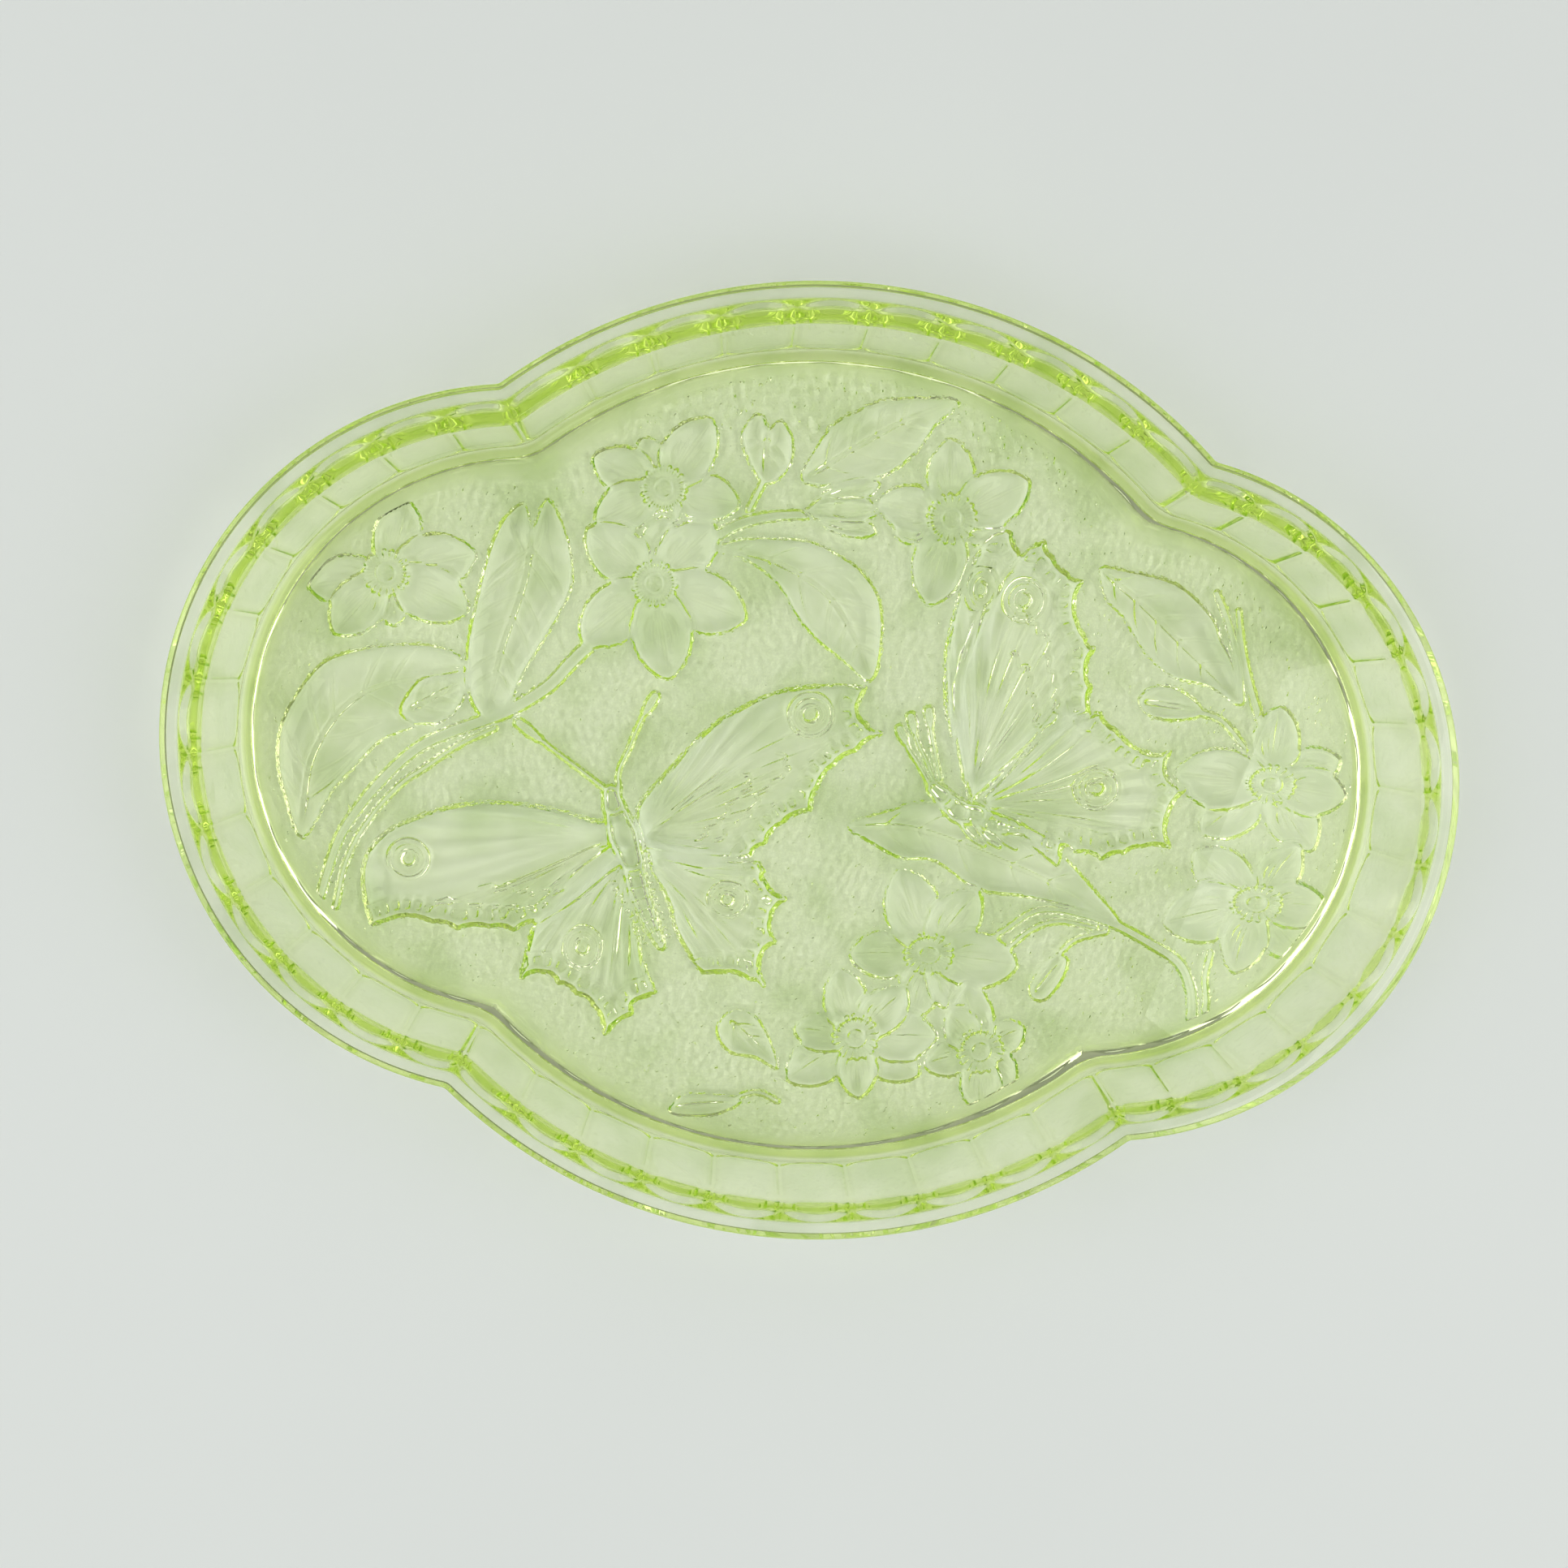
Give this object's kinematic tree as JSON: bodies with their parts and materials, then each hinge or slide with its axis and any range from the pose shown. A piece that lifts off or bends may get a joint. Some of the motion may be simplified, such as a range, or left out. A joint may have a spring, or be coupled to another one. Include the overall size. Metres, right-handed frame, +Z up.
{
  "type": "serving dish",
  "caption": "Shallow four-lobed serving dish in pale green uranium glass, with a broad flat lip, a fluted outer wall and a low foot ring.",
  "frame": {"origin": "under the middle of the dish, on the plane that its foot ring rests on", "axes": "+X along the length, through the tips of the end lobes; +Y along the width, through the tips of the side lobes; +Z up, out of the open side"},
  "size_m": [0.32, 0.236, 0.027],
  "materials": {
    "uranium_glass": "clear pressed glass, fire polished, pale yellow-green through the thin floor and saturated green along the lip and wall"
  },
  "bodies": {
    "root": {"glass_dish": "uranium_glass"}
  },
  "joints": []
}
